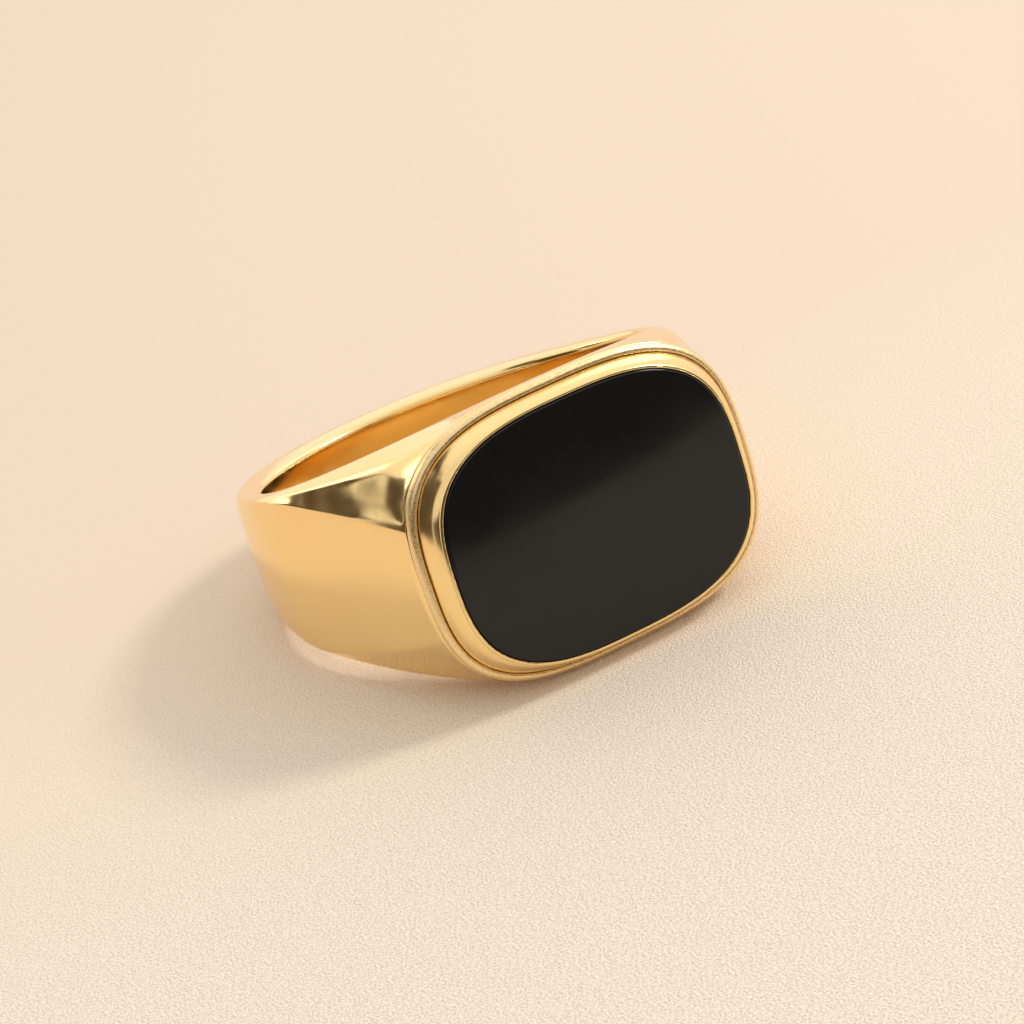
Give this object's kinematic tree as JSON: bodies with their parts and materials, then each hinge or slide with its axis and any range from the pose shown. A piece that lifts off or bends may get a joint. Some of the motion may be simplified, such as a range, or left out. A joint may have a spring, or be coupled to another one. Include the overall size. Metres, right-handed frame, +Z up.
{
  "type": "signet ring",
  "caption": "Gold signet ring with a cushion-shaped black stone in a stepped bezel, on a shank that tapers to the back.",
  "frame": {"origin": "under the middle of the ring's box, on the surface that the ring rests on", "axes": "+Z up, -Y out of the head, X across the shoulders; the finger bore leans from +Z towards +Y, as the ring lies"},
  "size_m": [0.0208, 0.0238, 0.0121],
  "materials": {
    "polished_gold": "polished yellow gold",
    "satin_gold": "fine satin yellow gold",
    "onyx": "polished black stone",
    "cement": "cured jeweller's epoxy"
  },
  "bodies": {
    "root": {"shank": "polished_gold", "step_wire": "satin_gold", "bezel_cup": "polished_gold", "stone_cement": "cement", "onyx_inlay": "onyx"}
  },
  "joints": []
}
